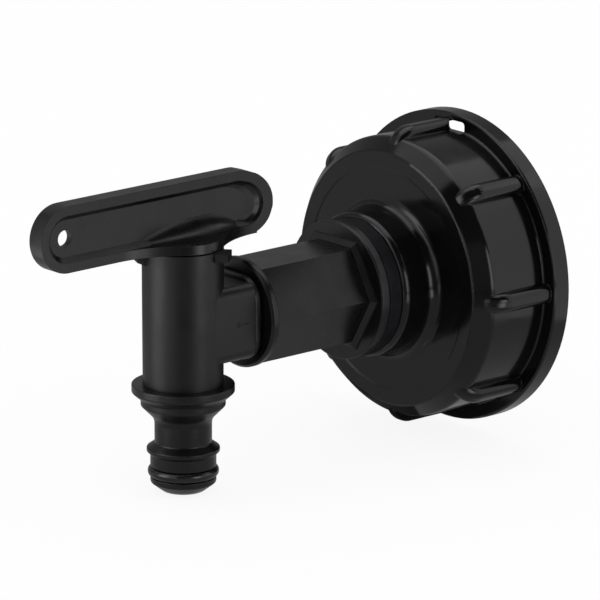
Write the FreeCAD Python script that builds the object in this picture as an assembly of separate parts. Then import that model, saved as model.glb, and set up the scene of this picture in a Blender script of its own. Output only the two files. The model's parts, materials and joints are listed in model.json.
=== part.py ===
"""Tank adapter with a quarter-turn tap.

A large screw cap with eight grip ribs carries a hexagon coupling. A swivelling tap hangs in the
coupling: an upright barrel with a plate lever on top and a quick-connect hose nozzle below.

Frame, in millimetres: X is the cap's axis and points out of the cap's mouth, +Z is up, and the
origin is the centre of the mouth's plane. The tap's upright axis crosses the X axis at TAP_X.
"""
import FreeCAD, Part
import math
import os

V = FreeCAD.Vector
X_AXIS = V(1, 0, 0)
Z_AXIS = V(0, 0, 1)

# Fits
RUNNING_GAP = 0.08
THREAD_GAP = 0.05
LOOSE_GAP = 0.3

# Cap: measured from the mouth's plane back towards the tap
CAP_DEPTH = 24.6
CAP_THREAD_R = 30.2
CAP_WALL_T = 4.3
CAP_END_T = 3.8
CAP_FLANGE_REACH = 3.75
CAP_FLANGE_T = 4.8
CAP_FLANGE_FILLET = 0.5
CAP_SHOULDER = 3.3
CAP_RIM_W = 4.0
CAP_RIM_STEP = 0.25
NECK_R = 17.8
NECK_LEN = 9.8
NECK_FILLET = 2.7

# Grip ribs on the cap
RIB_COUNT = 8
RIB_W = 4.8
RIB_H = 2.5
RIB_NOSE_R = 5.8
RIB_NOSE_SETBACK = 1.4
RIB_EDGE_R = 1.9

# Seal-wire slot through the flange, over the top rib
SLOT_W = 10.6
SLOT_H = 3.95
SLOT_LAND = 1.95
SLOT_SHIFT = -0.5
SLOT_RUN_IN = 1.7

# Seals of the cap
CAP_SEAL_T = 3.0
CAP_SEAL_GROOVE = 0.7
CAP_SEAL_WIDTH = 8.6
GASKET_T = 3.9
GASKET_R = 16.9
GASKET_EDGE = 0.45

# Hexagon coupling
STUB_R = 13.2
STUB_WALL = 4.8
COUPLING_FLANGE_R = 16.95
COUPLING_FLANGE_T = 2.6
HEX_STEP_AF = 26.4
HEX_STEP_T = 1.4
HEX_STEP_CHAMFER = 1.1
HEX_AF = 22.85
HEX_LEN = 27.9
COLLAR_R = 13.35
COLLAR_LEN = 1.9
COLLAR_CHAMFER = 0.6
SOCKET_R = 9.3
SOCKET_LEN = 20.6

# Tap body
TAP_X = -88.6
BARREL_R = 9.6
BARREL_DRAFT = 0.06
BARREL_TOP = 18.8
BARREL_BOTTOM = -14.3
CHAMBER_R = 7.0
INLET_HALF_W = 9.3
INLET_HALF_H = 9.2
INLET_CORNER_R = 2.6
INLET_REACH = 15.2
INLET_END_R = 0.9
END_PLATE_T = 2.3
END_PLATE_HALF_W = 9.7
END_PLATE_HALF_H = 10.3
END_PLATE_CORNER_R = 6.0
END_PLATE_EDGE = 0.8
END_PLATE_GAP = 0.3
SPIGOT_LEN = 21.0
PASSAGE_R = 4.4
PORT_SEAL_R = 5.5
PORT_SEAL_BACK = 10.2
LUG_DROP = 0.2
LUG_REACH = 2.0
LEFT_LUG_ANGLE = 155.0
LEFT_LUG_SIDES = (2.4, 2.4)
LEFT_LUG_DEPTHS = (2.3, 3.6)
RIGHT_LUG_ANGLE = -50.8
RIGHT_LUG_SIDES = (5.0, 0.5)
RIGHT_LUG_DEPTHS = (2.0, 2.0)

# Outlet nozzle, in order from the top down
NOZZLE_PLUG_LEN = 3.6
NOZZLE_PLUG_R = 8.2
NOZZLE_FLANGE_R = 12.2
NOZZLE_FLANGE_T = 1.8
NOZZLE_CONE_LEN = 1.9
NOZZLE_COLLAR_R = 10.05
NOZZLE_COLLAR_LEN = 1.45
NOZZLE_NECK_R = 6.8
NOZZLE_NECK_LEN = 5.85
NOZZLE_RING_R = 8.67
NOZZLE_RING_SLOPE = 1.3
NOZZLE_RING_LEN = 0.8
NOZZLE_STEP_LEN = 0.8
NOZZLE_TIP_R = 7.82
NOZZLE_LAND_LEN = 2.85
NOZZLE_GROOVE_LEN = 2.6
NOZZLE_O_RING_R = 8.43
NOZZLE_O_RING_WIDTH = 2.4
NOZZLE_TIP_LEN = 1.3
NOZZLE_TIP_CHAMFER = 2.1
NOZZLE_TIP_WALL = 0.5
OUTLET_R = 4.6

# Valve plug and its rings
PLUG_BOTTOM = -10.4
PLUG_TOP = 11.4
PLUG_ROOF = 5.2
PORT_R = 4.0
DRIVE_SQUARE = 6.2
DRIVE_LEN = 4.2
RING_SECTION = 1.6
RING_SQUEEZE = 0.2
PLUG_RING_Z = 7.9
STEM_RING_Z = 16.1
CLIP_Z = 13.9
CLIP_T = 1.0
CLIP_REACH = 0.8

# Rings on the spigot, measured back from the coupling's open end
SPIGOT_RING_1 = 5.2
SPIGOT_RING_2 = 9.4
SPIGOT_CLIP = 15.6

# Lever
LEVER_GAP = 0.3
LEVER_H = 15.9
LEVER_T = 4.4
LEVER_LEFT = 44.0
LEVER_RIGHT = 25.95
NOSE_SHOULDER = 14.5
NOSE_HEEL = 18.55
NOSE_Z = 7.1
RECESS_MARGIN = 2.3
RECESS_DEPTH = 1.35
RECESS_SLOPE = 1.2
RECESS_NOSE_MARGIN = 0.6
RECESS_NOSE_SLOPE = 3.2
RECESS_NOSE_STEPS = ((0.45, 0.08), (0.8, 0.32))
SCOOP_R = 3.3
SCOOP_LEFT = 7.0
SCOOP_RIGHT = 13.0
SCOOP_FADE = 8.0
HUB_R = 9.6
HUB_T = 2.3
HUB_BLEND_R = 24.0
HANG_HOLE_R = 2.0
STOP_R = 8.4
STOP_H = 1.3
STOP_HALF_ANGLE = 9.0
STOP_CLEARANCE = 1.5
TURN = 90.0

# Places that follow from the sizes above
CAP_WALL_R = CAP_THREAD_R + CAP_WALL_T
CAP_FLANGE_R = CAP_WALL_R + CAP_FLANGE_REACH
CAP_FRONT = -CAP_DEPTH
NECK_FACE = CAP_FRONT - NECK_LEN
CAP_INSIDE = CAP_FRONT + CAP_END_T
NECK_BORE_R = STUB_R + THREAD_GAP
GASKET_FACE = NECK_FACE - GASKET_T
FLANGE_FACE = GASKET_FACE - COUPLING_FLANGE_T
HEX_STEP_FACE = FLANGE_FACE - HEX_STEP_T
COLLAR_BACK = HEX_STEP_FACE - HEX_LEN
SOCKET_FACE = COLLAR_BACK - COLLAR_LEN
SOCKET_END = SOCKET_FACE + SOCKET_LEN
STUB_END = CAP_INSIDE - LOOSE_GAP
INLET_END = TAP_X + INLET_REACH
SPIGOT_R = SOCKET_R - RUNNING_GAP
SPIGOT_END = INLET_END + SPIGOT_LEN
PLUG_R = CHAMBER_R - RUNNING_GAP
LEVER_Z = BARREL_TOP + LEVER_GAP
LEVER_TOP = LEVER_Z + LEVER_H
GROOVE_W = RING_SECTION + 0.3
RING_DEPTH = RING_SECTION - RING_SQUEEZE


def corner(before, here, after, radius):
    """Return the two tangent points and the middle of the arc that rounds one corner."""
    to_before = (before - here).normalize()
    to_after = (after - here).normalize()
    half = to_before.getAngle(to_after) / 2
    reach = radius / math.tan(half)
    bisector = (to_before + to_after).normalize()
    middle = here + bisector * (radius / math.sin(half) - radius)
    return here + to_before * reach, middle, here + to_after * reach


def outline(points, place):
    """Make a closed wire from (u, v, corner radius) points, with place(u, v) giving the 3-D point."""
    spots = [place(u, v) for u, v, radius in points]
    ends = []
    arcs = []
    for i, (u, v, radius) in enumerate(points):
        if radius > 0:
            start, middle, end = corner(V(spots[i - 1]), V(spots[i]), V(spots[(i + 1) % len(spots)]), radius)
            arcs.append((start, middle, end))
            ends.append((start, end))
        else:
            arcs.append(None)
            ends.append((spots[i], spots[i]))
    edges = []
    for i, arc in enumerate(arcs):
        if arc:
            edges.append(Part.Arc(*arc).toShape())
        start = ends[i][1]
        end = ends[(i + 1) % len(ends)][0]
        if (end - start).Length > 1e-6:
            edges.append(Part.LineSegment(start, end).toShape())
    return Part.Wire(edges)


def lathe_x(points):
    """Turn (x, radius, corner radius) points about the cap's axis."""
    face = Part.Face(outline(points, lambda x, r: V(x, 0, r)))
    return face.revolve(V(0, 0, 0), X_AXIS, 360)


def lathe_tap(points):
    """Turn (radius, z, corner radius) points about the tap's upright axis."""
    face = Part.Face(outline(points, lambda r, z: V(TAP_X + r, 0, z)))
    return face.revolve(V(TAP_X, 0, 0), Z_AXIS, 360)


def rod_x(x0, x1, radius):
    """Make a plain cylinder along X from x0 to x1."""
    return Part.makeCylinder(radius, x1 - x0, V(x0, 0, 0), X_AXIS)


def rod_tap(z0, z1, radius):
    """Make a plain cylinder on the tap's upright axis from z0 to z1."""
    return Part.makeCylinder(radius, z1 - z0, V(TAP_X, 0, z0), Z_AXIS)


def ring_x(x0, x1, inner, outer, edge):
    """Make a flat ring about X with rounded outer edges."""
    return lathe_x([(x0, inner, 0), (x0, outer, edge), (x1, outer, edge), (x1, inner, 0)])


def ring_tap(z0, z1, inner, outer, edge):
    """Make a flat ring about the tap's upright axis with rounded outer edges."""
    return lathe_tap([(inner, z0, 0), (outer, z0, edge), (outer, z1, edge), (inner, z1, 0)])


def hexagon(x0, x1, across_flats):
    """Make a hexagon bar along X with its flats up and down."""
    corner_r = across_flats / math.sqrt(3)
    spots = [V(x0, corner_r * math.cos(math.radians(a)), corner_r * math.sin(math.radians(a)))
             for a in range(0, 360, 60)]
    face = Part.Face(Part.makePolygon(spots + spots[:1]))
    return face.extrude(V(x1 - x0, 0, 0))


def lens_x(x0, x1, inner_r, outer_r):
    """Make a rounded rubber ring about X, as squeezed in its groove."""
    width = x1 - x0
    return ring_x(x0, x1, inner_r, outer_r, 0.45 * min(width, outer_r - inner_r))


def upright_at(shape, angle):
    """Turn a shape about the tap's upright axis by an angle in degrees."""
    turned = shape.copy()
    turned.rotate(V(TAP_X, 0, 0), Z_AXIS, angle)
    return turned


def sector(z0, z1, inner, outer, start, sweep):
    """Make part of a ring about the tap's axis, from a start angle over a sweep in degrees."""
    face = Part.Face(Part.makePolygon([V(TAP_X + inner, 0, z0), V(TAP_X + outer, 0, z0),
                                       V(TAP_X + outer, 0, z1), V(TAP_X + inner, 0, z1),
                                       V(TAP_X + inner, 0, z0)]))
    return upright_at(face.revolve(V(TAP_X, 0, 0), Z_AXIS, sweep), start)


def cap_rib():
    """Make the top grip rib: a bar with a rounded nose on the shoulder, ending in the flange."""
    outer = CAP_WALL_R + RIB_H
    nose_x = CAP_FRONT + RIB_NOSE_SETBACK
    root = CAP_WALL_R - CAP_SHOULDER - 0.6
    side = outline([(nose_x, root, 0), (nose_x, outer, RIB_NOSE_R), (-CAP_FLANGE_T / 2, outer, 0),
                    (-CAP_FLANGE_T / 2, root, 0)], lambda x, r: V(x, -RIB_W / 2, r))
    bar = Part.Face(side).extrude(V(0, RIB_W, 0))
    crest = [e for e in bar.Edges
             if abs(abs(e.CenterOfMass.y) - RIB_W / 2) < 0.01
             and e.BoundBox.ZMax > outer - RIB_NOSE_R + 0.1
             and e.BoundBox.XMax < -CAP_FLANGE_T / 2 + 0.1
             and e.BoundBox.XLength > 1.0]
    return bar.makeFillet(RIB_EDGE_R, crest)


def seal_slot():
    """Make the cutter for the seal-wire slot in the flange."""
    low = CAP_WALL_R - SLOT_LAND
    left = SLOT_SHIFT - SLOT_W / 2
    right = SLOT_SHIFT + SLOT_W / 2
    start = -CAP_FLANGE_T - SLOT_RUN_IN
    face = Part.Face(outline([(left, low, 0.9), (right, low, 0.9),
                              (right, low + SLOT_H, 0.9), (left, low + SLOT_H, 0.9)],
                             lambda y, z: V(start, y, z)))
    return face.extrude(V(1 - start, 0, 0))


def ibc_cap():
    """Make the screw cap: neck, stepped face, shoulder, wall, ribs and flange round a deep thread."""
    face_rim_r = CAP_WALL_R - CAP_SHOULDER
    rim_start = face_rim_r - CAP_RIM_W
    seat_x = CAP_INSIDE + CAP_SEAL_T + LOOSE_GAP
    shell = lathe_x([
        (NECK_FACE, NECK_BORE_R, 0),
        (NECK_FACE, NECK_R, 1.5),
        (CAP_FRONT, NECK_R, NECK_FILLET),
        (CAP_FRONT, rim_start, 0),
        (CAP_FRONT - CAP_RIM_STEP, rim_start + CAP_RIM_STEP, 0),
        (CAP_FRONT - CAP_RIM_STEP, face_rim_r, 0.9),
        (CAP_FRONT + CAP_SHOULDER, CAP_WALL_R, 1.8),
        (-CAP_FLANGE_T, CAP_WALL_R, CAP_FLANGE_FILLET),
        (-CAP_FLANGE_T, CAP_FLANGE_R, 0.5),
        (0, CAP_FLANGE_R, 0.35),
        (0, CAP_THREAD_R, 0),
        (seat_x, CAP_THREAD_R, 0),
        (seat_x, CAP_THREAD_R + CAP_SEAL_GROOVE, 0),
        (CAP_INSIDE, CAP_THREAD_R + CAP_SEAL_GROOVE, 0.4),
        (CAP_INSIDE, NECK_BORE_R, 0)])
    rib = cap_rib()
    ribs = []
    for i in range(RIB_COUNT):
        one = rib.copy()
        one.rotate(V(0, 0, 0), X_AXIS, i * 360 / RIB_COUNT)
        ribs.append(one)
    return shell.fuse(ribs).cut(seal_slot())


def cap_seal():
    """Make the flat seal that lies against the inside of the cap's end, held in its groove."""
    outer = CAP_THREAD_R + CAP_SEAL_GROOVE - LOOSE_GAP
    return ring_x(CAP_INSIDE, CAP_INSIDE + CAP_SEAL_T, outer - CAP_SEAL_WIDTH, outer, 0.5)


def coupling_gasket():
    """Make the rubber washer squeezed between the coupling's flange and the cap's neck."""
    return ring_x(GASKET_FACE, NECK_FACE, STUB_R + LOOSE_GAP, GASKET_R, GASKET_EDGE)


def hex_coupling():
    """Make the coupling: socket collar, long hexagon, hexagon step, round flange and male stub."""
    collar = lathe_x([(SOCKET_FACE, 0, 0), (SOCKET_FACE, COLLAR_R - COLLAR_CHAMFER, 0.15),
                      (SOCKET_FACE + COLLAR_CHAMFER, COLLAR_R, 0.3), (COLLAR_BACK, COLLAR_R, 0.3),
                      (COLLAR_BACK + COLLAR_CHAMFER, COLLAR_R - 2 * COLLAR_CHAMFER, 0),
                      (COLLAR_BACK + COLLAR_CHAMFER, 0, 0)])
    bar = hexagon(SOCKET_FACE + COLLAR_CHAMFER, FLANGE_FACE, HEX_AF)
    step = hexagon(HEX_STEP_FACE, FLANGE_FACE, HEX_STEP_AF)
    front = [e for e in step.Edges if e.BoundBox.XMax < HEX_STEP_FACE + 0.01]
    step = step.makeChamfer(HEX_STEP_CHAMFER, front)
    flange = ring_x(FLANGE_FACE, GASKET_FACE, 1, COUPLING_FLANGE_R, 0.4)
    stub = lathe_x([(FLANGE_FACE, 0, 0), (FLANGE_FACE, STUB_R, 0), (STUB_END - 1, STUB_R, 0),
                    (STUB_END, STUB_R - 1, 0), (STUB_END, 0, 0)])
    solid = bar.fuse([collar, step, flange, stub])
    bore = rod_x(SOCKET_FACE, SOCKET_END, SOCKET_R)
    mouth = Part.makeCone(SOCKET_R + 0.8, SOCKET_R, 0.8, V(SOCKET_FACE, 0, 0), X_AXIS)
    water = rod_x(SOCKET_END, STUB_END, STUB_R - STUB_WALL)
    clip_x = SOCKET_FACE + SPIGOT_CLIP
    groove = rod_x(clip_x - CLIP_T / 2 - 0.1, clip_x + CLIP_T / 2 + 0.1, SOCKET_R + CLIP_REACH + 0.1)
    return solid.cut(bore.fuse([mouth, water, groove])).removeSplitter()


def inlet_block():
    """Make the rounded rectangular neck that joins the barrel to the spigot."""
    w = INLET_HALF_W
    h = INLET_HALF_H
    r = INLET_CORNER_R
    section = outline([(-w, -h, r), (w, -h, r), (w, h, r), (-w, h, r)], lambda y, z: V(TAP_X, y, z))
    block = Part.Face(section).extrude(V(INLET_REACH, 0, 0))
    end = [e for e in block.Edges if e.BoundBox.XMin > INLET_END - 0.01]
    return block.makeFillet(INLET_END_R, end)


def end_plate():
    """Make the plate with large round corners that closes the neck against the coupling."""
    w = END_PLATE_HALF_W
    h = END_PLATE_HALF_H
    r = END_PLATE_CORNER_R
    start = SOCKET_FACE - END_PLATE_GAP - END_PLATE_T
    section = outline([(-w, -h, r), (w, -h, r), (w, h, r), (-w, h, r)], lambda y, z: V(start, y, z))
    plate = Part.Face(section).extrude(V(END_PLATE_T, 0, 0))
    rims = [e for e in plate.Edges if e.BoundBox.XLength < 0.01]
    return plate.makeFillet(END_PLATE_EDGE, rims)


def lug(angle, sides, depths):
    """Make one lug on the barrel's rim: sides are its reaches to either side, depths its end and root."""
    top = BARREL_TOP - LUG_DROP
    root = CHAMBER_R + 1.5
    side = [V(root, 0, top), V(BARREL_R + LUG_REACH, 0, top), V(BARREL_R + LUG_REACH, 0, top - depths[0]),
            V(BARREL_R - 1, 0, top - depths[1]), V(root, 0, top - depths[1])]
    face = Part.Face(Part.makePolygon(side + side[:1]))
    block = face.extrude(V(0, sum(sides), 0))
    block.translate(V(TAP_X, -sides[0], 0))
    ring = rod_tap(top - 2 * depths[1], top, BARREL_R + 2 * LUG_REACH)
    return upright_at(block.cut(rod_tap(top - 3 * depths[1], top + 1, root)).common(ring), angle)


def spigot_groove(distance, width, depth):
    """Make the cutter for one groove in the spigot, at a distance from the socket's face."""
    middle = SOCKET_FACE + distance
    outer = rod_x(middle - width / 2, middle + width / 2, SPIGOT_R + 1)
    return outer.cut(rod_x(middle - width / 2, middle + width / 2, SPIGOT_R - depth))


def tap_body():
    """Make the tap: barrel, inlet neck, spigot and lugs, with the plug's chamber and the passage."""
    barrel = Part.makeCone(BARREL_R - BARREL_DRAFT, BARREL_R + BARREL_DRAFT, BARREL_TOP - BARREL_BOTTOM,
                           V(TAP_X, 0, BARREL_BOTTOM), Z_AXIS)
    spigot = lathe_x([(INLET_END - 2, 0, 0), (INLET_END - 2, SPIGOT_R, 0), (SPIGOT_END - 0.8, SPIGOT_R, 0),
                      (SPIGOT_END, SPIGOT_R - 0.8, 0), (SPIGOT_END, 0, 0)])
    solid = barrel.fuse([inlet_block(), end_plate(), spigot,
                          lug(LEFT_LUG_ANGLE, LEFT_LUG_SIDES, LEFT_LUG_DEPTHS),
                          lug(RIGHT_LUG_ANGLE, RIGHT_LUG_SIDES, RIGHT_LUG_DEPTHS)])
    cutters = [
        rod_tap(BARREL_BOTTOM - 1, BARREL_TOP + 1, CHAMBER_R),
        rod_tap(BARREL_BOTTOM - 1, BARREL_BOTTOM + NOZZLE_PLUG_LEN, NOZZLE_PLUG_R + THREAD_GAP),
        rod_tap(CLIP_Z - CLIP_T / 2 - 0.1, CLIP_Z + CLIP_T / 2 + 0.1, CHAMBER_R + CLIP_REACH + 0.1),
        rod_x(TAP_X, SPIGOT_END + 1, PASSAGE_R),
        rod_x(TAP_X, TAP_X + PORT_SEAL_BACK, PORT_SEAL_R + RUNNING_GAP),
        sector(BARREL_TOP - STOP_H, BARREL_TOP + 1, CHAMBER_R - 0.5, STOP_R + 0.1,
               -STOP_HALF_ANGLE - STOP_CLEARANCE, TURN + 2 * (STOP_HALF_ANGLE + STOP_CLEARANCE)),
        spigot_groove(SPIGOT_RING_1, GROOVE_W, RING_DEPTH),
        spigot_groove(SPIGOT_RING_2, GROOVE_W, RING_DEPTH),
        spigot_groove(SPIGOT_CLIP, CLIP_T + 0.1, CLIP_REACH)]
    return solid.cut(cutters[0].fuse(cutters[1:]))


def spigot_o_ring(distance):
    """Make one O-ring of the spigot, squeezed to the socket's bore."""
    middle = SOCKET_FACE + distance
    half = RING_SECTION / 2
    return lens_x(middle - half, middle + half, SPIGOT_R - RING_DEPTH, SPIGOT_R + RUNNING_GAP / 2)


def spigot_clip():
    """Make the snap ring that holds the spigot in its socket, open at the bottom."""
    middle = SOCKET_FACE + SPIGOT_CLIP
    ring = ring_x(middle - CLIP_T / 2, middle + CLIP_T / 2, SPIGOT_R - CLIP_REACH, SOCKET_R + CLIP_REACH, 0.1)
    gap = Part.makeBox(CLIP_T * 2, 5, 2 * SOCKET_R, V(middle - CLIP_T, -2.5, -2 * SOCKET_R - 2))
    return ring.cut(gap)


def port_seal():
    """Make the inlet seal, hollowed at its front to the plug's round side."""
    block = rod_x(TAP_X + 3, TAP_X + PORT_SEAL_BACK, PORT_SEAL_R)
    water = rod_x(TAP_X, TAP_X + PORT_SEAL_BACK + 1, PASSAGE_R)
    chamber = rod_tap(-2 * PORT_SEAL_R, 2 * PORT_SEAL_R, CHAMBER_R)
    return block.cut(water.fuse(chamber))


def nozzle_levels():
    """Work out the nozzle's heights from the top down, from its lengths."""
    flare = NOZZLE_COLLAR_R - NOZZLE_NECK_R
    lengths = {
        "flange_top": 0, "flange_bottom": NOZZLE_FLANGE_T, "collar_top": NOZZLE_CONE_LEN,
        "collar_bottom": NOZZLE_COLLAR_LEN, "neck_top": flare, "neck_bottom": NOZZLE_NECK_LEN,
        "ring_top": NOZZLE_RING_SLOPE, "ring_bottom": NOZZLE_RING_LEN, "tip_top": NOZZLE_STEP_LEN,
        "groove_top": NOZZLE_LAND_LEN, "groove_bottom": NOZZLE_GROOVE_LEN,
        "chamfer_top": NOZZLE_TIP_LEN, "end": NOZZLE_TIP_CHAMFER}
    levels = {}
    z = BARREL_BOTTOM
    for name, length in lengths.items():
        z -= length
        levels[name] = z
    return levels


def outlet_nozzle():
    """Make the quick-connect nozzle: plug, flange, collar, flared neck, catch ring and tip."""
    z = nozzle_levels()
    groove_r = NOZZLE_O_RING_R - NOZZLE_O_RING_WIDTH + RING_SQUEEZE
    solid = lathe_tap([
        (OUTLET_R, z["flange_top"] + NOZZLE_PLUG_LEN, 0),
        (NOZZLE_PLUG_R, z["flange_top"] + NOZZLE_PLUG_LEN, 0),
        (NOZZLE_PLUG_R, z["flange_top"], 0),
        (NOZZLE_FLANGE_R, z["flange_top"], 0.2),
        (NOZZLE_FLANGE_R, z["flange_bottom"], 0.4),
        (NOZZLE_COLLAR_R, z["collar_top"], 0.3),
        (NOZZLE_COLLAR_R, z["collar_bottom"], 0.5),
        (NOZZLE_NECK_R, z["neck_top"], 3.0),
        (NOZZLE_NECK_R, z["neck_bottom"], 0.4),
        (NOZZLE_RING_R, z["ring_top"], 0.25),
        (NOZZLE_RING_R, z["ring_bottom"], 0.25),
        (NOZZLE_TIP_R, z["tip_top"], 0.2),
        (NOZZLE_TIP_R, z["groove_top"], 0.15),
        (groove_r, z["groove_top"], 0),
        (groove_r, z["groove_bottom"], 0),
        (NOZZLE_TIP_R, z["groove_bottom"], 0.15),
        (NOZZLE_TIP_R, z["chamfer_top"], 0.8),
        (OUTLET_R + NOZZLE_TIP_WALL, z["end"], 0.2),
        (OUTLET_R, z["end"], 0)])
    seal_z = z["flange_top"] + NOZZLE_PLUG_LEN / 2
    return solid.cut(ring_groove(seal_z, NOZZLE_PLUG_R))


def nozzle_o_ring():
    """Make the O-ring in the nozzle's tip, standing proud of it."""
    z = nozzle_levels()
    middle = (z["groove_bottom"] + z["groove_top"]) / 2
    half = NOZZLE_O_RING_WIDTH / 2
    inner = NOZZLE_O_RING_R - NOZZLE_O_RING_WIDTH + RING_SQUEEZE
    return ring_tap(middle - half, middle + half, inner, NOZZLE_O_RING_R, 1.1)


def upright_ring(middle, radius, gap):
    """Make an O-ring in a groove of depth RING_DEPTH on the tap's axis."""
    half = RING_SECTION / 2
    return ring_tap(middle - half, middle + half, radius - RING_DEPTH, radius + gap, 0.6)


def ring_groove(middle, radius):
    """Make the cutter for an O-ring groove on the tap's axis."""
    low = middle - GROOVE_W / 2
    high = middle + GROOVE_W / 2
    return rod_tap(low, high, radius + 1).cut(rod_tap(low, high, radius - RING_DEPTH))


def square_bar(z0, z1, size):
    """Make a square bar on the tap's upright axis."""
    return Part.makeBox(size, size, z1 - z0, V(TAP_X - size / 2, -size / 2, z0))


def valve_plug():
    """Make the hollow plug: open below, one side port, two ring grooves and a square socket on top."""
    solid = rod_tap(PLUG_BOTTOM, PLUG_TOP, PLUG_R)
    socket = square_bar(PLUG_TOP - DRIVE_LEN - LOOSE_GAP, PLUG_TOP + 1, DRIVE_SQUARE + 2 * RUNNING_GAP)
    water = rod_tap(PLUG_BOTTOM - 1, PLUG_ROOF, OUTLET_R)
    port = rod_x(TAP_X, TAP_X + CHAMBER_R + 1, PORT_R)
    rings = [ring_groove(PLUG_RING_Z, PLUG_R), ring_groove(-PLUG_RING_Z, PLUG_R)]
    return solid.cut(socket.fuse([water, port] + rings))


def stem_clip():
    """Make the snap ring that holds the lever's stem down in the barrel, open at the back."""
    ring = ring_tap(CLIP_Z - CLIP_T / 2, CLIP_Z + CLIP_T / 2, PLUG_R - CLIP_REACH, CHAMBER_R + CLIP_REACH, 0.1)
    gap = Part.makeBox(2 * CHAMBER_R, 4, CLIP_T * 2, V(TAP_X + 1, -2, CLIP_Z - CLIP_T))
    return ring.cut(gap)


def ellipse_quarter(centre, half_x, half_z, start, y):
    """Return a quarter of an upright ellipse at depth y, anticlockwise from a start angle."""
    x, z = centre
    turn = math.radians(start)
    spots = []
    for step in range(7):
        a = turn + math.radians(step * 15)
        spots.append(V(TAP_X + x + half_x * math.cos(a), y, z + half_z * math.sin(a)))
    along = V(-half_x * math.sin(turn), 0, half_z * math.cos(turn))
    last = turn + math.pi / 2
    leaving = V(-half_x * math.sin(last), 0, half_z * math.cos(last))
    curve = Part.BSplineCurve()
    curve.interpolate(Points=spots, InitialTangent=along, FinalTangent=leaving)
    return curve.toShape()


def lever_outline(inset, y, pull=0):
    """Make the plate's outline at depth y, inset all round, with its nose pulled back by pull."""
    low = LEVER_Z + inset
    high = LEVER_TOP - inset
    end_r = LEVER_H / 2 - inset
    mid = LEVER_Z + LEVER_H / 2
    left = -LEVER_LEFT + inset + end_r
    nose_z = LEVER_Z + NOSE_Z
    tip = LEVER_RIGHT - inset - pull
    shoulder = NOSE_SHOULDER - pull
    heel = NOSE_HEEL - pull
    upper = ellipse_quarter((shoulder, nose_z), tip - shoulder, high - nose_z, 0, y)
    lower = ellipse_quarter((heel, nose_z), tip - heel, nose_z - low, 270, y)
    top = Part.LineSegment(V(TAP_X + shoulder, y, high), V(TAP_X + left, y, high)).toShape()
    grip = Part.Arc(V(TAP_X + left, y, high), V(TAP_X + left - end_r, y, mid), V(TAP_X + left, y, low)).toShape()
    bottom = Part.LineSegment(V(TAP_X + left, y, low), V(TAP_X + heel, y, low)).toShape()
    return Part.Wire([lower, upper, top, grip, bottom])


def lever_recess(side):
    """Make the cutter for the recess in one face, with sloping walls and a hollow curve at the nose."""
    levels = [(0, 0)] + list(RECESS_NOSE_STEPS) + [(1, 1)]
    wires = [lever_outline(RECESS_MARGIN + RECESS_SLOPE * deep, side * (LEVER_T / 2 - RECESS_DEPTH * deep),
                           RECESS_NOSE_MARGIN + RECESS_NOSE_SLOPE * back) for deep, back in levels]
    mouth = wires[0]
    pocket = Part.makeLoft(wires, True, True)
    cover = Part.Face(mouth).extrude(V(0, side, 0))
    return pocket.fuse(cover)


def hub_plan(height):
    """Make the hub's plan, a disc that runs out into the plate in long curves, raised to a height."""
    half = LEVER_T / 2
    blend = HUB_BLEND_R
    reach = math.sqrt((HUB_R + blend) ** 2 - (half + blend) ** 2)
    touch = HUB_R / (HUB_R + blend)
    spots = []
    for sx, sy in ((-1, -1), (1, -1), (1, 1), (-1, 1)):
        spots.append((V(TAP_X + sx * reach, sy * half, LEVER_Z),
                      V(TAP_X + sx * reach * touch, sy * (half + blend) * touch, LEVER_Z)))
    edges = []
    for index, (sx, sy) in enumerate(((-1, -1), (1, -1), (1, 1), (-1, 1))):
        tip, joint = spots[index]
        centre = V(TAP_X + sx * reach, sy * (half + blend), LEVER_Z)
        bulge = ((tip - centre) + (joint - centre)).normalize() * blend
        edges.append(Part.Arc(tip, centre + bulge, joint).toShape())
    crown = V(TAP_X, -HUB_R, LEVER_Z)
    edges.append(Part.Arc(spots[0][1], crown, spots[1][1]).toShape())
    crown = V(TAP_X, HUB_R, LEVER_Z)
    edges.append(Part.Arc(spots[2][1], crown, spots[3][1]).toShape())
    edges.append(Part.LineSegment(spots[1][0], spots[2][0]).toShape())
    edges.append(Part.LineSegment(spots[3][0], spots[0][0]).toShape())
    wire = Part.Wire(Part.__sortEdges__(edges))
    return Part.Face(wire).extrude(V(0, 0, height))


def scoop_section(x, side, radius):
    """Make the section of the hollow curve between the hub's top and the web, at one place along X."""
    foot = LEVER_Z + HUB_T
    web = LEVER_T / 2 - RECESS_DEPTH
    low = V(TAP_X + x, side * (web + radius), foot)
    high = V(TAP_X + x, side * web, foot + radius)
    middle = V(TAP_X + x, side * (web + radius * (1 - math.sqrt(0.5))), foot + radius * (1 - math.sqrt(0.5)))
    inner_high = V(TAP_X + x, 0, foot + radius)
    inner_low = V(TAP_X + x, 0, foot - 0.5)
    outer_low = V(TAP_X + x, side * (web + radius), foot - 0.5)
    return Part.Wire([Part.Arc(low, middle, high).toShape(), Part.LineSegment(high, inner_high).toShape(),
                      Part.LineSegment(inner_high, inner_low).toShape(),
                      Part.LineSegment(inner_low, outer_low).toShape(),
                      Part.LineSegment(outer_low, low).toShape()])


def lever_hub():
    """Make the hub at the plate's foot, with the hollow curves that lead up into both recesses."""
    small = RECESS_DEPTH / 2
    places = [(-SCOOP_LEFT - SCOOP_FADE, small), (-SCOOP_LEFT, SCOOP_R),
              (SCOOP_RIGHT, SCOOP_R), (SCOOP_RIGHT + SCOOP_FADE / 2, small)]
    limit = hub_plan(HUB_T + SCOOP_R + 1)
    scoops = [Part.makeLoft([scoop_section(x, side, r) for x, r in places], True).common(limit)
              for side in (-1, 1)]
    return [hub_plan(HUB_T)] + scoops


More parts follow.
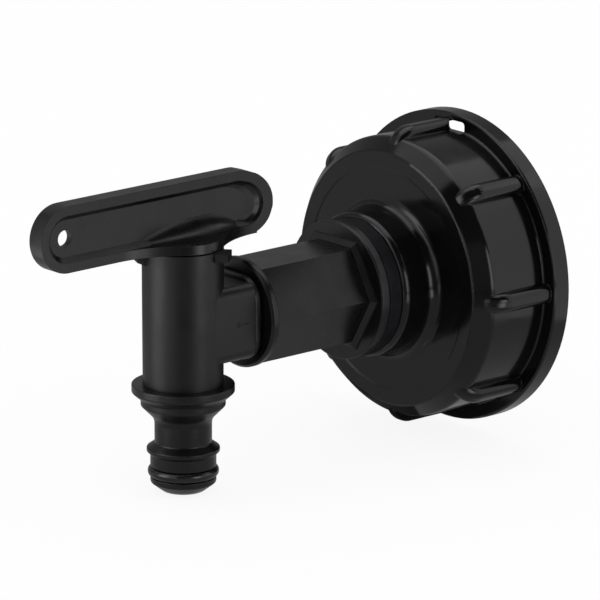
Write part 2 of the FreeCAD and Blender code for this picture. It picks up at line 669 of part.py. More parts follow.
def lever_handle():
    """Make the lever: recessed plate, hub, stem with its grooves, square drive and stop key."""
    half = LEVER_T / 2
    plate = Part.Face(lever_outline(0, -half)).extrude(V(0, LEVER_T, 0))
    plate = plate.cut(lever_recess(-1)).cut(lever_recess(1))
    grip = V(TAP_X - LEVER_LEFT + LEVER_H / 2, -LEVER_T, LEVER_Z + LEVER_H / 2)
    plate = plate.cut(Part.makeCylinder(HANG_HOLE_R, 2 * LEVER_T, grip, V(0, 1, 0)))
    stem = rod_tap(PLUG_TOP + LOOSE_GAP, LEVER_Z + 1, PLUG_R)
    groove = ring_groove(STEM_RING_Z, PLUG_R)
    clip = rod_tap(CLIP_Z - CLIP_T / 2 - 0.05, CLIP_Z + CLIP_T / 2 + 0.05, PLUG_R + 1)
    clip = clip.cut(rod_tap(CLIP_Z - CLIP_T, CLIP_Z + CLIP_T, PLUG_R - CLIP_REACH))
    stem = stem.cut(groove.fuse(clip))
    drive = square_bar(PLUG_TOP - DRIVE_LEN, PLUG_TOP + 1, DRIVE_SQUARE)
    key = sector(BARREL_TOP - STOP_H + LOOSE_GAP, LEVER_Z + 0.5, PLUG_R - 1.2, STOP_R - 0.1,
                 -STOP_HALF_ANGLE, 2 * STOP_HALF_ANGLE)
    return plate.fuse(lever_hub() + [stem, drive, key])


def save(name, shape):
    """Write one node as a STEP file and print its volume and size."""
    solids = shape.Solids
    if len(solids) != 1 or not shape.isValid():
        print("look at", name, "solids", len(solids), "valid", shape.isValid())
    body = solids[0] if len(solids) == 1 else shape
    body.exportStep(os.path.join("parts", name + ".step"))
    box = body.BoundBox
    print("%-20s %9.1f mm3  %6.1f x %5.1f x %5.1f mm" % (name, body.Volume, box.XLength, box.YLength, box.ZLength))


os.makedirs("parts", exist_ok=True)
save("ibc_cap", ibc_cap())
save("cap_seal", cap_seal())
save("coupling_gasket", coupling_gasket())
save("hex_coupling", hex_coupling())
save("tap_body", tap_body())
save("spigot_o_ring_1", spigot_o_ring(SPIGOT_RING_1))
save("spigot_o_ring_2", spigot_o_ring(SPIGOT_RING_2))
save("spigot_clip", spigot_clip())
save("port_seal", port_seal())
save("outlet_nozzle", outlet_nozzle())
save("nozzle_seal", upright_ring(BARREL_BOTTOM + NOZZLE_PLUG_LEN / 2, NOZZLE_PLUG_R, 0))
save("nozzle_o_ring", nozzle_o_ring())
save("valve_plug", valve_plug())
save("plug_o_ring_upper", upright_ring(PLUG_RING_Z, PLUG_R, RUNNING_GAP / 2))
save("plug_o_ring_lower", upright_ring(-PLUG_RING_Z, PLUG_R, RUNNING_GAP / 2))
save("stem_o_ring", upright_ring(STEM_RING_Z, PLUG_R, RUNNING_GAP / 2))
save("stem_clip", stem_clip())
save("lever_handle", lever_handle())
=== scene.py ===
"""Looks of the tank adapter with its quarter-turn tap.

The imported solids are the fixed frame. This file gives each of them its finish, adds what stays out
of the solids (the coarse thread inside the cap and the flow arrows on the inlet neck), and sets the
floor, the light and the camera. Lengths are in metres, in the row's frame.
"""

import json
import logging
import math
from dataclasses import dataclass
from enum import Enum

import bmesh
import bpy
from mathutils import Matrix, Vector


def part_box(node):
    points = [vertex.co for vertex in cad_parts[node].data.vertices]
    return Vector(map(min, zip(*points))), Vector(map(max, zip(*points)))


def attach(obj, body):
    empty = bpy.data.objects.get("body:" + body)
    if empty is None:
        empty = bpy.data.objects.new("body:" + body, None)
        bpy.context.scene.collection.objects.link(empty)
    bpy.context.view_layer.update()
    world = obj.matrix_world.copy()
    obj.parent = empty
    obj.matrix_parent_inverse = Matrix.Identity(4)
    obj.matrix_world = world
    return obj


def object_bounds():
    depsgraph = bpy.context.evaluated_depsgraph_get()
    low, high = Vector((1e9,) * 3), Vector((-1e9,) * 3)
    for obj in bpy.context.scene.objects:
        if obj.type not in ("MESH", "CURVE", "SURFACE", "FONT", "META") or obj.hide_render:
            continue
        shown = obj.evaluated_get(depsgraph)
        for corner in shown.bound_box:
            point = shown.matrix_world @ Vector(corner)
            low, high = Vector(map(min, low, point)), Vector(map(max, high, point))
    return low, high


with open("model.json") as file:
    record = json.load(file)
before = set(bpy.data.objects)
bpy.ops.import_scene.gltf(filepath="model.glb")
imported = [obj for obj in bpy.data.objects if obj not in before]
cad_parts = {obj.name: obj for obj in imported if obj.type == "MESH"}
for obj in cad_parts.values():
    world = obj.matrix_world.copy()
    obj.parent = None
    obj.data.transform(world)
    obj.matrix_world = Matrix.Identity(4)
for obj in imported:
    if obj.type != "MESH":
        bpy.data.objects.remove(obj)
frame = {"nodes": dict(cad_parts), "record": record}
CAD_BOX = [list(corner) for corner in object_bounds()]
LOG = logging.getLogger("tank_adapter")
MM = 0.001
NOISE_LOW = 0.35
NOISE_HIGH = 0.65
EDGE_SAMPLES = 4
WHITE = 1.0
HALF_TURN = 180.0
Colour = tuple[float, float, float]


class Body(Enum):
    """The rigid bodies that the added pieces ride on."""

    CAP = "cap"
    TAP = "tap"


class Slot(Enum):
    """The record's material slots."""

    PLASTIC = "black_plastic"
    RUBBER = "black_rubber"
    ACETAL = "white_plastic"
    STEEL = "spring_steel"


@dataclass(frozen=True)
class Finish:
    """A made material and the record's slot that it stands for."""

    material: bpy.types.Material
    slot: Slot


@dataclass(frozen=True)
class Pattern:
    """A noise texture: its cells per metre, its octaves and how much the finer ones weigh."""

    scale: float
    detail: float
    roughness: float


class NodeTree:
    """A small helper that builds one material's nodes."""

    def __init__(self, name: str) -> None:
        """Make the material with a surface shader, its output and the object's coordinates.

        Args:
            name: The material's name.
        """
        self.material = bpy.data.materials.new(name)
        output = empty_tree(self.material, "ShaderNodeOutputMaterial")
        self.tree = self.material.node_tree
        self.shader = self.tree.nodes.new("ShaderNodeBsdfPrincipled")
        self.tree.links.new(self.shader.outputs["BSDF"], output.inputs["Surface"])
        self.place = self.tree.nodes.new("ShaderNodeTexCoord")

    def noise(self, pattern: Pattern) -> bpy.types.NodeSocket:
        """Add a noise texture on the piece's own coordinates.

        Args:
            pattern: The noise's scale, detail and roughness.

        Returns:
            The socket with the noise's value.
        """
        node = self.tree.nodes.new("ShaderNodeTexNoise")
        node.inputs["Scale"].default_value = pattern.scale
        node.inputs["Detail"].default_value = pattern.detail
        node.inputs["Roughness"].default_value = pattern.roughness
        self.tree.links.new(self.place.outputs["Object"], node.inputs["Vector"])
        return node.outputs["Fac"]

    def colour(self, source: bpy.types.NodeSocket, first: Colour, second: Colour) -> None:
        """Blend the base colour between two tones by a noise value.

        Args:
            source: The socket that gives the value.
            first: The colour at the low end.
            second: The colour at the high end.
        """
        node = self.tree.nodes.new("ShaderNodeValToRGB")
        node.color_ramp.elements[0].position = NOISE_LOW
        node.color_ramp.elements[0].color = (*first, 1)
        node.color_ramp.elements[1].position = NOISE_HIGH
        node.color_ramp.elements[1].color = (*second, 1)
        self.tree.links.new(source, node.inputs["Fac"])
        self.tree.links.new(node.outputs["Color"], self.shader.inputs["Base Color"])

    def gloss(self, source: bpy.types.NodeSocket, low: float, high: float) -> None:
        """Vary the roughness between two numbers by a noise value.

        Args:
            source: The socket that gives the value.
            low: The roughness at the low end.
            high: The roughness at the high end.
        """
        node = self.tree.nodes.new("ShaderNodeMapRange")
        node.inputs["From Min"].default_value = NOISE_LOW
        node.inputs["From Max"].default_value = NOISE_HIGH
        node.inputs["To Min"].default_value = low
        node.inputs["To Max"].default_value = high
        self.tree.links.new(source, node.inputs["Value"])
        self.tree.links.new(node.outputs["Result"], self.shader.inputs["Roughness"])

    def relief(self, layers: list[tuple[bpy.types.NodeSocket, float, float]], edge: float) -> None:
        """Give the surface its fine relief and soften its edges.

        Args:
            layers: For each layer, its height socket, strength and distance in metres.
            edge: The radius that edges look rounded by, in metres.
        """
        soft = self.tree.nodes.new("ShaderNodeBevel")
        soft.samples = EDGE_SAMPLES
        soft.inputs["Radius"].default_value = edge
        normal = soft.outputs["Normal"]
        for height, strength, distance in layers:
            bump = self.tree.nodes.new("ShaderNodeBump")
            bump.inputs["Strength"].default_value = strength
            bump.inputs["Distance"].default_value = distance
            self.tree.links.new(height, bump.inputs["Height"])
            self.tree.links.new(normal, bump.inputs["Normal"])
            normal = bump.outputs["Normal"]
        self.tree.links.new(normal, self.shader.inputs["Normal"])


@dataclass(frozen=True)
class MouldedPlastic:
    """Black moulded plastic: glossy, with faint flow marks and dust-fine texture."""

    name: str
    gloss: tuple[float, float]
    dark: Colour = (0.0022, 0.0022, 0.0024)
    light: Colour = (0.0034, 0.0034, 0.0038)
    specular: float = 0.36
    clouds: Pattern = Pattern(55.0, 3.0, 0.5)
    smudges: Pattern = Pattern(180.0, 4.0, 0.6)
    waves: Pattern = Pattern(120.0, 1.0, 0.4)
    waviness: float = 0.10
    wave_height: float = 0.05 * MM
    texture: Pattern = Pattern(3500.0, 2.0, 0.6)
    grain: float = 0.10
    grain_height: float = 0.01 * MM
    edge: float = 0.22 * MM

    def make(self) -> Finish:
        """Build the material.

        Returns:
            The finished material and its slot.
        """
        nodes = NodeTree(self.name)
        nodes.colour(nodes.noise(self.clouds), self.dark, self.light)
        nodes.gloss(nodes.noise(self.smudges), *self.gloss)
        nodes.shader.inputs["Specular IOR Level"].default_value = self.specular
        nodes.relief([(nodes.noise(self.waves), self.waviness, self.wave_height),
                      (nodes.noise(self.texture), self.grain, self.grain_height)], self.edge)
        return Finish(nodes.material, Slot.PLASTIC)


@dataclass(frozen=True)
class SoftRubber:
    """Black rubber: matte, slightly grey, with a fine bloom."""

    name: str
    dark: Colour = (0.0045, 0.0038, 0.005)
    light: Colour = (0.0085, 0.0075, 0.0095)
    gloss: tuple[float, float] = (0.50, 0.64)
    specular: float = 0.09
    bloom: Pattern = Pattern(240.0, 4.0, 0.6)
    texture: Pattern = Pattern(2600.0, 3.0, 0.6)
    grain: float = 0.15
    grain_height: float = 0.02 * MM
    edge: float = 0.15 * MM

    def make(self) -> Finish:
        """Build the material.

        Returns:
            The finished material and its slot.
        """
        nodes = NodeTree(self.name)
        bloom = nodes.noise(self.bloom)
        nodes.colour(bloom, self.dark, self.light)
        nodes.gloss(bloom, *self.gloss)
        nodes.shader.inputs["Specular IOR Level"].default_value = self.specular
        nodes.relief([(nodes.noise(self.texture), self.grain, self.grain_height)], self.edge)
        return Finish(nodes.material, Slot.RUBBER)


@dataclass(frozen=True)
class NaturalAcetal:
    """Undyed acetal plastic of the plug: off-white and satin."""

    name: str
    dark: Colour = (0.70, 0.68, 0.62)
    light: Colour = (0.78, 0.76, 0.71)
    gloss: tuple[float, float] = (0.35, 0.5)
    clouds: Pattern = Pattern(90.0, 3.0, 0.5)
    texture: Pattern = Pattern(3000.0, 2.0, 0.5)
    grain: float = 0.08
    grain_height: float = 0.01 * MM
    edge: float = 0.15 * MM

    def make(self) -> Finish:
        """Build the material.

        Returns:
            The finished material and its slot.
        """
        nodes = NodeTree(self.name)
        clouds = nodes.noise(self.clouds)
        nodes.colour(clouds, self.dark, self.light)
        nodes.gloss(clouds, *self.gloss)
        nodes.relief([(nodes.noise(self.texture), self.grain, self.grain_height)], self.edge)
        return Finish(nodes.material, Slot.ACETAL)


@dataclass(frozen=True)
class SpringSteel:
    """Spring steel of the snap rings: bright, with fine rolling marks."""

    name: str
    dark: Colour = (0.48, 0.48, 0.49)
    light: Colour = (0.60, 0.60, 0.61)
    gloss: tuple[float, float] = (0.22, 0.4)
    marks: Pattern = Pattern(900.0, 4.0, 0.6)
    grain: float = 0.1
    grain_height: float = 0.01 * MM
    edge: float = 0.08 * MM

    def make(self) -> Finish:
        """Build the material.

        Returns:
            The finished material and its slot.
        """
        nodes = NodeTree(self.name)
        marks = nodes.noise(self.marks)
        nodes.colour(marks, self.dark, self.light)
        nodes.gloss(marks, *self.gloss)
        nodes.shader.inputs["Metallic"].default_value = 1.0
        nodes.relief([(marks, self.grain, self.grain_height)], self.edge)
        return Finish(nodes.material, Slot.STEEL)


@dataclass(frozen=True)
class Finishes:
    """All finishes of the object."""

    cap: Finish
    coupling: Finish
    tap: Finish
    nozzle: Finish
    lever: Finish
    gasket: Finish
    ring: Finish
    acetal: Finish
    steel: Finish

    @staticmethod
    def build() -> "Finishes":
        """Make every finish once.

        Returns:
            The set of finishes.
        """
        return Finishes(
            cap=MouldedPlastic("cap_plastic", gloss=(0.12, 0.18), edge=0.40 * MM).make(),
            coupling=MouldedPlastic("coupling_plastic", gloss=(0.26, 0.34), grain=0.04,
                                    waviness=0.05).make(),
            tap=MouldedPlastic("tap_plastic", gloss=(0.38, 0.46)).make(),
            nozzle=MouldedPlastic("nozzle_plastic", gloss=(0.26, 0.36)).make(),
            lever=MouldedPlastic("lever_plastic", gloss=(0.24, 0.34), specular=0.38).make(),
            gasket=SoftRubber("gasket_rubber").make(),
            ring=SoftRubber("ring_rubber", dark=(0.003, 0.003, 0.0035), light=(0.005, 0.005, 0.006),
                            gloss=(0.18, 0.28), specular=0.5).make(),
            acetal=NaturalAcetal("plug_acetal").make(),
            steel=SpringSteel("snap_ring_steel").make())


def empty_tree(holder: bpy.types.ID, output: str) -> bpy.types.Node:
    """Clear a material's or the world's nodes and give it its output.

    Args:
        holder: The material or the world.
        output: The output node's type.

    Returns:
        The output node.
    """
    holder.use_nodes = True
    holder.node_tree.nodes.clear()
    return holder.node_tree.nodes.new(output)


def mesh_object(name: str, mesh: bmesh.types.BMesh,
                material: bpy.types.Material) -> bpy.types.Object:
    """Turn a finished bmesh into an object in the scene.

    Args:
        name: The object's name.
        mesh: Its mesh, in the row's frame. It is freed here.
        material: Its material.

    Returns:
        The new object.
    """
    data = bpy.data.meshes.new(name)
    mesh.to_mesh(data)
    mesh.free()
    data.materials.append(material)
    made = bpy.data.objects.new(name, data)
    bpy.context.scene.collection.objects.link(made)
    return made


def direction(azimuth: float, elevation: float) -> Vector:
    """Give the unit vector of a direction.

    Args:
        azimuth: Degrees from +X towards +Y.
        elevation: Degrees over the horizon.

    Returns:
        The unit vector.
    """
    turn = math.radians(azimuth)
    rise = math.radians(elevation)
    return Vector((math.cos(turn) * math.cos(rise), math.sin(turn) * math.cos(rise),
                   math.sin(rise)))


def facing(look: Vector) -> Matrix:
    """Give the turn of a camera or a lamp that looks along a direction, with its top upwards.

    Args:
        look: The direction it looks along.

    Returns:
        The turn.
    """
    return look.to_track_quat("-Z", "Y").to_matrix().to_4x4()


def dress_node(node: str, finish: Finish) -> None:
    """Give a carried-over node its finish.

    Args:
        node: The node's name.
        finish: The finish it gets.
    """
    piece = frame["nodes"][node]
    piece.data.materials.clear()
    piece.data.materials.append(finish.material)
    LOG.info("%s: finish %s", node, finish.material.name)


def add_piece(name: str, mesh: bmesh.types.BMesh, finish: Finish, body: Body) -> None:
    """Turn a finished bmesh into a piece that rides on its body.

    Args:
        name: The piece's name.
        mesh: Its mesh, in the row's frame. It is freed here.
        finish: Its finish.
        body: The body it moves with.
    """
    piece = mesh_object(name, mesh, finish.material)
    piece.data.shade_smooth()
    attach(piece, body.value)
    LOG.info("%s: %d faces on %s", name, len(piece.data.polygons), body.value)


@dataclass(frozen=True)
class InnerThread:
    """A helical ridge inside a bore about the X axis, faded out at both ends.

    Attributes:
        start: Where the middle of its section starts along X.
        root: The bore's radius, which the ridge stands on.
        pitch: How far it advances in a turn.
        turns: How many turns it makes.
        depth: How far its crest stands out of the wall.
        foot: Its width at the wall.
        crest: Its width at the crest.
        bite: How far its foot reaches into the wall.
        steps: The steps of the spin in a turn.
        fade_part: The part of its length over which each end fades, as a divisor.
        sunk_share: Points nearer to the wall than this share of the depth belong to the foot.
        least_share: The share of the depth that is left at its very ends.
    """

    start: float
    root: float
    pitch: float
    turns: float
    depth: float
    foot: float
    crest: float
    bite: float = 0.15 * MM
    steps: int = 72
    fade_part: int = 12
    sunk_share: float = 0.3
    least_share: float = 0.02

    def section(self, mesh: bmesh.types.BMesh) -> list[bmesh.types.BMVert]:
        """Make the ridge's section at the thread's start, in the plane through the axis.

        Args:
            mesh: The bmesh to make it in.

        Returns:
            The section's vertices, in order round it.
        """
        spots = [(-self.foot / 2, -self.bite), (-self.crest / 2, self.depth),
                 (self.crest / 2, self.depth), (self.foot / 2, -self.bite)]
        return [mesh.verts.new((self.start + along, 0.0, self.root - inwards))
                for along, inwards in spots]

    def build(self) -> bmesh.types.BMesh:
        """Spin the section along the helix, fade its ends and close them.

        Returns:
            The ridge's mesh.
        """
        mesh = bmesh.new()
        ring = self.section(mesh)
        edges = [mesh.edges.new((ring[i], ring[(i + 1) % len(ring)])) for i in range(len(ring))]
        bmesh.ops.spin(mesh, geom=ring + edges, cent=(0, 0, 0), axis=(1, 0, 0),
                       dvec=(self.pitch / self.steps, 0, 0), angle=2 * math.pi * self.turns,
                       steps=round(self.steps * self.turns), use_merge=False, use_duplicate=False)
        self.fade(mesh)
        ends = [edge for edge in mesh.edges if edge.is_boundary]
        bmesh.ops.holes_fill(mesh, edges=ends, sides=0)
        bmesh.ops.recalc_face_normals(mesh, faces=mesh.faces)
        return mesh

    def fade(self, mesh: bmesh.types.BMesh) -> None:
        """Sink the ridge into its wall over the first and last twelfth of its length.

        Args:
            mesh: The spun ridge.
        """
        length = self.pitch * self.turns
        run = length / self.fade_part
        for vert in mesh.verts:
            reach = math.hypot(vert.co.y, vert.co.z)
            if abs(reach - self.root) < self.sunk_share * self.depth:
                continue
            along = vert.co.x - self.start
            share = min(1.0, max(self.least_share, min(along, length - along) / run))
            wanted = self.root + (reach - self.root) * share
            vert.co.y *= wanted / reach
            vert.co.z *= wanted / reach


@dataclass
class ScrewCap:
    """The cap with its seal, washer and coupling, and the thread that its solid leaves out.

    The thread keeps clear of the seal and of the cap's mouth by its relief.
    """

    finishes: Finishes
    thread_pitch: float = 6.0 * MM
    thread_depth: float = 2.2 * MM
    thread_foot: float = 4.2 * MM
    thread_crest: float = 1.6 * MM
    thread_relief: float = 1.2 * MM

    def build(self) -> None:
        """Dress the cap's nodes and add its thread."""
        dress_node("ibc_cap", self.finishes.cap)
        dress_node("cap_seal", self.finishes.gasket)
        dress_node("coupling_gasket", self.finishes.gasket)
        dress_node("hex_coupling", self.finishes.coupling)
        self.tank_thread()

    def tank_thread(self) -> None:
        """Add the coarse thread between the seal and the cap's mouth."""
        seal_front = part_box("cap_seal")[1].x
        mount = next(m for m in frame["record"]["mounts"] if m["name"] == "ibc_thread")
        root = mount["dims"]["r_mm"] * MM
        start = seal_front + self.thread_relief + self.thread_foot / 2
        length = -self.thread_relief - self.thread_foot / 2 - start
        thread = InnerThread(start, root, self.thread_pitch, length / self.thread_pitch,
                             self.thread_depth, self.thread_foot, self.thread_crest)
        add_piece("tank_thread", thread.build(), self.finishes.cap, Body.CAP)


@dataclass
class Tap:
    """The tap's body, nozzle and inner rings, with the flow arrows on the inlet neck.

    An arrow is a shaft and two barbs that spread from its tip, in degrees from the shaft.
    """

    finishes: Finishes
    arrow_middle: tuple[float, float, float] = (-77.95 * MM, 9.3 * MM, 0.0)
    arrow_length: float = 3.5 * MM
    arrow_barb: float = 1.1 * MM
    arrow_spread: float = 38.0
    arrow_width: float = 0.26 * MM
    arrow_relief: float = 0.16 * MM
    arrow_edge: float = 0.05 * MM
    rings: tuple[str, ...] = ("spigot_o_ring_1", "spigot_o_ring_2", "port_seal", "nozzle_seal",
                              "nozzle_o_ring")

    def build(self) -> None:
        """Dress the tap's nodes and add the arrows."""
        dress_node("tap_body", self.finishes.tap)
        dress_node("outlet_nozzle", self.finishes.nozzle)
        dress_node("spigot_clip", self.finishes.steel)
        for ring in self.rings:
            dress_node(ring, self.finishes.ring)
        self.flow_arrow("flow_arrow_front", -1)
        self.flow_arrow("flow_arrow_back", 1)

    def flow_arrow(self, name: str, side: int) -> None:
        """Add a raised arrow on one side of the neck, pointing the way the water flows.

        Args:
            name: The arrow's name.
            side: -1 for the front, towards -Y, and 1 for the back.
        """
        along, out, height = self.arrow_middle
        mesh = bmesh.new()
        self.arrow_stroke(mesh, self.arrow_length, 0.0)
        for turn in (-self.arrow_spread, self.arrow_spread):
            self.arrow_stroke(mesh, self.arrow_barb, turn)
        tip = Vector((along - self.arrow_length / 2, side * out, height))
        bmesh.ops.translate(mesh, verts=mesh.verts, vec=tip)
        bmesh.ops.recalc_face_normals(mesh, faces=mesh.faces)
        add_piece(name, mesh, self.finishes.tap, Body.TAP)

    def arrow_stroke(self, mesh: bmesh.types.BMesh, length: float, turn: float) -> None:
        """Add one thin raised stroke that starts at the arrow's tip.

        Args:
            mesh: The arrow's mesh, with its tip at the origin.
            length: How long the stroke is.
            turn: Its slant from the shaft, in degrees.
        """
        slant = Matrix.Rotation(math.radians(turn), 4, "Y")
        place = Matrix.Translation((length / 2, 0, 0))
        size = Matrix.Diagonal((length, self.arrow_relief, self.arrow_width, 1))
        stroke = bmesh.ops.create_cube(mesh, size=1.0, matrix=slant @ place @ size)
        edges = list({edge for vert in stroke["verts"] for edge in vert.link_edges})
        bmesh.ops.bevel(mesh, geom=edges, offset=self.arrow_edge, affect="EDGES", segments=2,
                        profile=0.5, material=-1)


@dataclass
class Valve:
    """The lever, the plug and their rings."""

    finishes: Finishes
    rings: tuple[str, ...] = ("plug_o_ring_upper", "plug_o_ring_lower", "stem_o_ring")

    def build(self) -> None:
        """Dress the valve's nodes."""
        dress_node("lever_handle", self.finishes.lever)
        dress_node("valve_plug", self.finishes.acetal)
        dress_node("stem_clip", self.finishes.steel)
        for ring in self.rings:
            dress_node(ring, self.finishes.ring)


@dataclass(frozen=True)
class Card:
    """One studio card, part of a ring about the object, that only shows in the object's gloss.

    Attributes:
        name: The card's name.
        middle: The direction of its middle, in degrees from +X towards +Y.
        half: Half the angle it spans, in degrees.
        near: How far from the ring's centre it begins.
        reach: How far it reaches along the floor.
        glow: Its brightness: 0 is a black flag and 1 is white.
        height: The height of the part that stands up at its far edge, 0 for a flat mat.
        lift: How high its lower edge hangs over the floor.
    """

    name: str
    middle: float
    half: float
    near: float
    reach: float
    glow: float
    height: float = 0.0
    lift: float = 0.0


@dataclass(frozen=True)
class SoftBox:
    """One soft box that faces the object.

    Attributes:
        name: The lamp's name.
        azimuth: Its direction from the object, in degrees from +X towards +Y.
        elevation: Its height over the horizon, in degrees.
        distance: How far it stands from the object.
        size: Its width and height.
        power: Its power in watts.
    """

    name: str
    azimuth: float
    elevation: float
    distance: float
    size: tuple[float, float]
    power: float


@dataclass
class Studio:
    """The pale floor, the cards, the soft boxes and the camera at the photograph's angle.

    The camera's heading, elevation, roll, place and lens were fitted to the photograph's outlines,
    with the angles in degrees. The cards and the soft boxes stand round the centre. The shares say
    how much of plain white the camera sees of the world and of the floor. The gaps lift the flat
    mats and the standing cards off the floor, and a card's step is in degrees.
    """

    heading: float = 48.914
    elevation: float = 15.208
    roll: float = 0.134
    place: tuple[float, float, float] = (-976.49 * MM, -1060.08 * MM, 381.82 * MM)
    lens: float = 366.72
    sensor: float = 36.0
    nearest: float = 0.05
    farthest: float = 20.0
    centre: tuple[float, float, float] = (-0.055, 0.0, 0.0)
    world_light: float = 0.8
    world_share: float = 1.0
    floor_half: float = 6.0
    floor_drop: float = 0.5 * MM
    floor_tone: float = 0.92
    floor_share: float = 0.9
    mat_gap: float = 1.0 * MM
    card_gap: float = 2.0 * MM
    card_step: float = 4.0
    card_fewest: int = 12
    cards: tuple[Card, ...] = (
        # painted shadow: a dim mat under the object that shows its shadow on the floor in the
        # object's gloss, where the floor itself shows plain white
        Card("painted_shadow_under", middle=0.0, half=HALF_TURN, near=0.004, reach=0.125, glow=0.42),
        # painted shadow: a near-black mat behind and to the right of the object that darkens the
        # floor's reflection under it, seen only in gloss
        Card("painted_shadow_right", middle=20.0, half=30.0, near=0.030, reach=0.124, glow=0.05, lift=0.002),
        Card("flag_front", middle=229.0, half=23.0, near=0.125, reach=0.34, glow=0.16, height=0.20),
        Card("flag_back", middle=66.0, half=52.0, near=0.125, reach=0.50, glow=0.26, height=0.60),
        Card("flag_right", middle=354.0, half=20.0, near=0.125, reach=0.50, glow=0.05, height=0.40),
        Card("flag_left", middle=132.0, half=13.0, near=0.125, reach=0.50, glow=0.50, height=0.50),
        Card("flag_high", middle=306.0, half=15.0, near=0.10, reach=0.10, glow=0.02, height=0.26,
             lift=0.118),
        Card("flag_ceiling", middle=250.0, half=50.0, near=0.50, reach=0.50, glow=0.01, height=1.30,
             lift=0.21),
        Card("flag_hub", middle=268.0, half=50.0, near=0.042, reach=0.042, glow=0.01, height=0.170,
             lift=0.072),
        Card("mat_far", middle=238.0, half=62.0, near=0.262, reach=0.44, glow=0.02, lift=0.003),
        Card("card_left", middle=162.0, half=15.0, near=0.125, reach=0.45, glow=2.9, height=0.40),
        Card("card_right", middle=272.0, half=11.0, near=0.125, reach=0.45, glow=3.0, height=0.24))
    lamps: tuple[SoftBox, ...] = (
        SoftBox("key", azimuth=-100.0, elevation=38.0, distance=1.2, size=(0.9, 0.9), power=1.5),
        SoftBox("fill", azimuth=-15.0, elevation=20.0, distance=1.3, size=(0.5, 1.2), power=1.0),
        SoftBox("top", azimuth=60.0, elevation=80.0, distance=1.2, size=(1.2, 1.2), power=3.0))

    def build(self) -> None:
        """Set up the whole studio."""
        bpy.context.scene.view_settings.view_transform = "Standard"
        self.camera()
        self.world()
        self.floor()
        for card in self.cards:
            self.stand_card(card)
        for lamp in self.lamps:
            self.hang_lamp(lamp)

    def camera(self) -> None:
        """Place the camera as the photograph's, from the fitted angles."""
        data = bpy.data.cameras.new("camera")
        data.lens = self.lens
        data.sensor_width = self.sensor
        data.clip_start = self.nearest
        data.clip_end = self.farthest
        camera = bpy.data.objects.new("camera", data)
        turn = facing(direction(self.heading, -self.elevation))
        turn = turn @ Matrix.Rotation(math.radians(self.roll), 4, "Z")
        camera.matrix_world = Matrix.Translation(self.place) @ turn
        bpy.context.scene.collection.objects.link(camera)
        bpy.context.scene.camera = camera

    def backdrop(self, tree: bpy.types.NodeTree, base: bpy.types.NodeSocket,
                 white: bpy.types.NodeSocket, camera_share: float) -> bpy.types.NodeSocket:
        """Show plain white to the camera and in gloss and glass, and the base shader to all else.

        Args:
            tree: The material's or the world's node tree.
            base: The shader that lights the object.
            white: The plain white shader.
            camera_share: How much of the white the camera sees; the rest keeps the shadow.

        Returns:
            The mixed shader's socket.
        """
        rays = tree.nodes.new("ShaderNodeLightPath")
        mirror = tree.nodes.new("ShaderNodeMath")
        mirror.operation = "MAXIMUM"
        tree.links.new(rays.outputs["Is Glossy Ray"], mirror.inputs[0])
        tree.links.new(rays.outputs["Is Transmission Ray"], mirror.inputs[1])
        seen = tree.nodes.new("ShaderNodeMath")
        seen.operation = "MULTIPLY_ADD"
        seen.use_clamp = True
        seen.inputs[1].default_value = camera_share
        tree.links.new(rays.outputs["Is Camera Ray"], seen.inputs[0])
        tree.links.new(mirror.outputs["Value"], seen.inputs[2])
        mix = tree.nodes.new("ShaderNodeMixShader")
        tree.links.new(seen.outputs["Value"], mix.inputs["Fac"])
        tree.links.new(base, mix.inputs[1])
        tree.links.new(white, mix.inputs[2])
        return mix.outputs["Shader"]

    def world(self) -> None:
        """Make the white background, with a plain soft light behind it."""
        world = bpy.data.worlds.new("studio")
        out = empty_tree(world, "ShaderNodeOutputWorld")
        tree = world.node_tree
        sources = []
        for strength in (self.world_light, WHITE):
            source = tree.nodes.new("ShaderNodeBackground")
            source.inputs["Color"].default_value = (1, 1, 1, 1)
            source.inputs["Strength"].default_value = strength
            sources.append(source.outputs["Background"])
        mixed = self.backdrop(tree, *sources, camera_share=self.world_share)
        tree.links.new(mixed, out.inputs["Surface"])
        bpy.context.scene.world = world

    def floor(self) -> None:
        """Make the pale floor, which looks white and keeps the object's soft shadow."""
        mesh = bmesh.new()
        bmesh.ops.create_grid(mesh, x_segments=1, y_segments=1, size=self.floor_half)
        bmesh.ops.translate(mesh, verts=mesh.verts, vec=(0, 0, CAD_BOX[0][2] - self.floor_drop))
        finish = bpy.data.materials.new("floor_white")
        out = empty_tree(finish, "ShaderNodeOutputMaterial")
        tree = finish.node_tree
        matte = tree.nodes.new("ShaderNodeBsdfDiffuse")
        tone = (self.floor_tone, self.floor_tone, self.floor_tone, 1)
        matte.inputs["Color"].default_value = tone
        glow = tree.nodes.new("ShaderNodeEmission")
        glow.inputs["Strength"].default_value = WHITE
        mixed = self.backdrop(tree, matte.outputs["BSDF"], glow.outputs["Emission"],
                              camera_share=self.floor_share)
        tree.links.new(mixed, out.inputs["Surface"])
        floor = mesh_object("floor", mesh, finish)

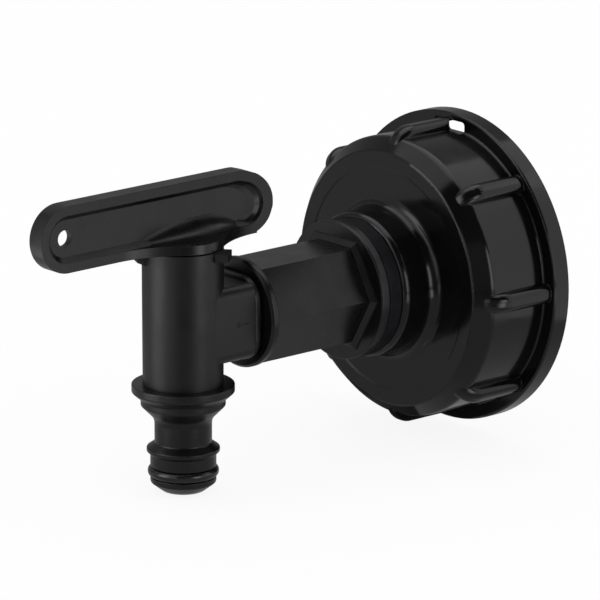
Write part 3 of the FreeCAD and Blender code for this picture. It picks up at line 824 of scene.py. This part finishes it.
    def stand_card(self, card: Card) -> None:
        """Spin one card about the ring's centre, unseen by the camera and without a shadow.

        Args:
            card: The card.
        """
        foot = CAD_BOX[0][2] - self.floor_drop + (self.card_gap if card.height else self.mat_gap)
        spots = [(card.near, foot + card.lift)]
        if card.reach > card.near:
            spots.append((card.reach, foot + card.lift))
        if card.height:
            spots.append((card.reach, foot + card.height))
        away = direction(card.middle - card.half, 0.0)
        mesh = bmesh.new()
        line = [mesh.verts.new((self.centre[0] + away.x * r, self.centre[1] + away.y * r, z))
                for r, z in spots]
        edges = [mesh.edges.new(pair) for pair in zip(line, line[1:])]
        bmesh.ops.spin(mesh, geom=line + edges, cent=self.centre, axis=(0, 0, 1),
                       angle=math.radians(2 * card.half),
                       steps=max(self.card_fewest, round(2 * card.half / self.card_step)),
                       use_merge=card.half == HALF_TURN, use_duplicate=False)
        finish = bpy.data.materials.new(card.name)
        out = empty_tree(finish, "ShaderNodeOutputMaterial")
        light = finish.node_tree.nodes.new("ShaderNodeEmission")
        light.inputs["Strength"].default_value = card.glow
        finish.node_tree.links.new(light.outputs["Emission"], out.inputs["Surface"])
        stood = mesh_object(card.name, mesh, finish)
        stood.visible_camera = False
        stood.visible_diffuse = False
        stood.visible_transmission = False
        stood.visible_shadow = False

    def hang_lamp(self, lamp: SoftBox) -> None:
        """Hang one soft box so that it faces the object.

        Args:
            lamp: The soft box.
        """
        data = bpy.data.lights.new(lamp.name, "AREA")
        data.shape = "RECTANGLE"
        data.size, data.size_y = lamp.size
        data.energy = lamp.power
        away = direction(lamp.azimuth, lamp.elevation)
        hung = bpy.data.objects.new(lamp.name, data)
        spot = Vector(self.centre) + away * lamp.distance
        hung.matrix_world = Matrix.Translation(spot) @ facing(-away)
        bpy.context.scene.collection.objects.link(hung)


def main() -> None:
    """Dress the object and set up the studio."""
    logging.basicConfig(level=logging.INFO, format="%(name)s %(message)s")
    finishes = Finishes.build()
    ScrewCap(finishes).build()
    Tap(finishes).build()
    Valve(finishes).build()
    Studio().build()


if __name__ == "__main__":
    main()
